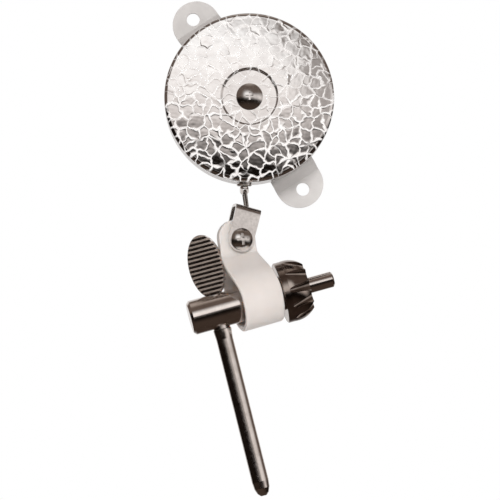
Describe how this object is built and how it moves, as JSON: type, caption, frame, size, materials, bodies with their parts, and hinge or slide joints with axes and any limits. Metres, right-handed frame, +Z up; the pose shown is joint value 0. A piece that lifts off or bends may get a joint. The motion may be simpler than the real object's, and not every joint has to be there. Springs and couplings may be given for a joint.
{
  "type": "retractable chuck key reel",
  "caption": "Spring reel in a round chrome case on a wall strap, with a drill chuck key held on its tether by a wire link, clip and nylon loop strap.",
  "frame": {"origin": "centre of the two wall holes, on the wall plane", "axes": "+Z up, opposite to the way the key hangs; -Y out of the wall towards the viewer; +X to the viewer's right"},
  "size_m": [0.0579, 0.0252, 0.1694],
  "materials": {
    "zinc_strap": "matte zinc-plated strip",
    "chrome_case": "bright chrome, embossed all over the front",
    "cup_steel": "bright plated sheet",
    "rivet_chrome": "polished rivet",
    "post_steel": "turned steel",
    "drum_plastic": "moulded black plastic",
    "spring_steel": "blued spring strip",
    "washer_plastic": "plain nylon",
    "tether_cord": "braided cord",
    "link_wire": "plated spring wire",
    "clip_chrome": "bright plated strip",
    "screw_nickel": "nickel-plated screw and nut",
    "nylon": "natural translucent nylon",
    "key_steel": "dark polished hardened steel",
    "bar_steel": "dark polished steel"
  },
  "bodies": {
    "reel": {"mounting_strap": "zinc_strap", "strap_rivets": "zinc_strap", "back_cup": "cup_steel", "front_cover": "chrome_case", "centre_post": "post_steel", "front_rivet": "rivet_chrome", "exit_eyelet": "rivet_chrome", "spring_arbor": "post_steel", "thrust_washers": "washer_plastic", "tether_inside": "tether_cord"},
    "drum": {"drum": "drum_plastic", "drum_cover": "drum_plastic", "power_spring": "spring_steel", "wound_tether": "tether_cord"},
    "tether_end": {"tether_ferrule": "rivet_chrome", "tether_lead": "tether_cord"},
    "link": {"wire_link": "link_wire"},
    "clip": {"u_clip": "clip_chrome", "clamp_screw": "screw_nickel", "clamp_nut": "screw_nickel"},
    "loop": {"nylon_clamp": "nylon"},
    "key": {"key_spindle": "key_steel", "tommy_bar": "bar_steel"}
  },
  "joints": [
    {"name": "tether_pull", "type": "slide", "parent": "reel", "child": "tether_end", "axis": [0, 0, -1], "range_m": [0, 0.61], "stiffness_N_per_m": 2, "springref_m": -1.2, "deforming": ["tether_lead"]},
    {"name": "drum_spin", "type": "hinge", "parent": "reel", "child": "drum", "pos_m": [0, -0.011, 0], "axis": [0, 1, 0], "range_deg": [0, 1910]},
    {"name": "link_swing", "type": "hinge", "parent": "tether_end", "child": "link", "pos_m": [-0.0015, -0.0106, -0.0309], "axis": [0.2164, -0.9763, 0], "range_deg": [-20, 20]},
    {"name": "clip_swing", "type": "hinge", "parent": "link", "child": "clip", "pos_m": [-0.00068, -0.01042, -0.03684], "axis": [0.2164, -0.9763, 0], "range_deg": [-15, 12]},
    {"name": "loop_pivot", "type": "hinge", "parent": "clip", "child": "loop", "pos_m": [-0.00328, -0.01099, -0.04752], "axis": [0.2164, -0.9763, 0], "range_deg": [-20, 20]},
    {"name": "key_spin", "type": "hinge", "parent": "loop", "child": "key", "pos_m": [-0.0105, -0.0106, -0.0715], "axis": [0.9608, 0.0672, 0.2689], "range_deg": [-5, 155]}
  ],
  "couplings": [
    {"joint": "drum_spin", "follows": "tether_pull", "rad_per_m": 54.35}
  ]
}
